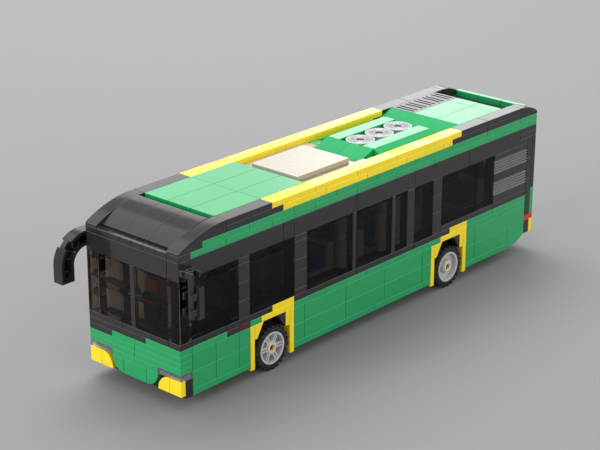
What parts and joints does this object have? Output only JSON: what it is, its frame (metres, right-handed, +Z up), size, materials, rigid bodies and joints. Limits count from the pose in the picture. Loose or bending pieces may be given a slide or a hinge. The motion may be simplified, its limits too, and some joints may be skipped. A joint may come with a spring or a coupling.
{
  "type": "brick-built toy city bus",
  "caption": "Single-deck toy city bus built of interlocking plastic bricks, with smoked windows, roof units, mirrors and wheels that roll on pins.",
  "frame": {"origin": "on the ground, under the middle of the whole outline", "axes": "+X forward along the bus, +Y to its left, +Z up"},
  "size_m": [0.3038, 0.0797, 0.0896],
  "materials": {
    "green": "glossy moulded",
    "yellow": "glossy moulded",
    "black": "glossy moulded",
    "dark_grey": "glossy moulded",
    "light_grey": "glossy moulded",
    "rim_grey": "glossy moulded",
    "tan": "glossy moulded",
    "blue": "glossy moulded",
    "brown": "glossy moulded",
    "smoked": "see-through smoked",
    "clear": "see-through clear",
    "red": "see-through red",
    "dark_red": "see-through dark red",
    "rubber": "matt rubber"
  },
  "bodies": {
    "body": {"arch_bricks": "black", "axle_pins": "tan", "black_bricks_left": "black", "black_bricks_right": "black", "bumper_green": "green", "bumper_yellow": "yellow", "chassis_plates": "dark_grey", "cooling_unit": "green", "corner_glass": "smoked", "dashboard": "dark_grey", "deck_grilles": "dark_grey", "dome_slopes": "black", "door_frames": "black", "door_panes": "smoked", "driver_seat": "light_grey", "floor_bricks": "dark_grey", "front_black": "black", "front_brick": "black", "front_green": "green", "grab_poles": "light_grey", "green_bricks_left": "green", "green_bricks_right": "green", "header_bricks": "black", "headlamps": "clear", "mirror_arm_right": "black", "mirror_bar_left": "black", "mirror_bracket_left": "black", "mirror_plate_left": "black", "rear_black": "black", "rear_bricks": "black", "rear_green": "green", "rear_window": "smoked", "roof_black": "black", "roof_fans": "light_grey", "roof_hatch": "tan", "roof_plates": "green", "roof_tiles": "green", "roof_yellow": "yellow", "seat_pads": "blue", "seats": "light_grey", "side_glass_left": "smoked", "side_glass_right": "smoked", "side_grille_left": "dark_grey", "side_grille_right": "dark_grey", "side_lamps": "dark_red", "steering_wheel": "dark_grey", "tail_lamps": "red", "ticket_box": "brown", "windscreen": "smoked", "windscreen_bar": "black", "yellow_bricks_left": "yellow", "yellow_bricks_right": "yellow"},
    "wheel_front_left": {"tyre_front_left": "rubber", "rim_front_left": "rim_grey"},
    "wheel_front_right": {"tyre_front_right": "rubber", "rim_front_right": "rim_grey"},
    "wheel_rear_left": {"tyre_rear_left": "rubber", "rim_rear_left": "rim_grey"},
    "wheel_rear_right": {"tyre_rear_right": "rubber", "rim_rear_right": "rim_grey"}
  },
  "joints": [
    {"name": "wheel_front_left_spin", "type": "hinge", "parent": "body", "child": "wheel_front_left", "pos_m": [0.072, 0.0282, 0.012], "axis": [0, 1, 0], "continuous": true},
    {"name": "wheel_front_right_spin", "type": "hinge", "parent": "body", "child": "wheel_front_right", "pos_m": [0.072, -0.0282, 0.012], "axis": [0, 1, 0], "continuous": true},
    {"name": "wheel_rear_left_spin", "type": "hinge", "parent": "body", "child": "wheel_rear_left", "pos_m": [-0.072, 0.0282, 0.012], "axis": [0, 1, 0], "continuous": true},
    {"name": "wheel_rear_right_spin", "type": "hinge", "parent": "body", "child": "wheel_rear_right", "pos_m": [-0.072, -0.0282, 0.012], "axis": [0, 1, 0], "continuous": true}
  ]
}
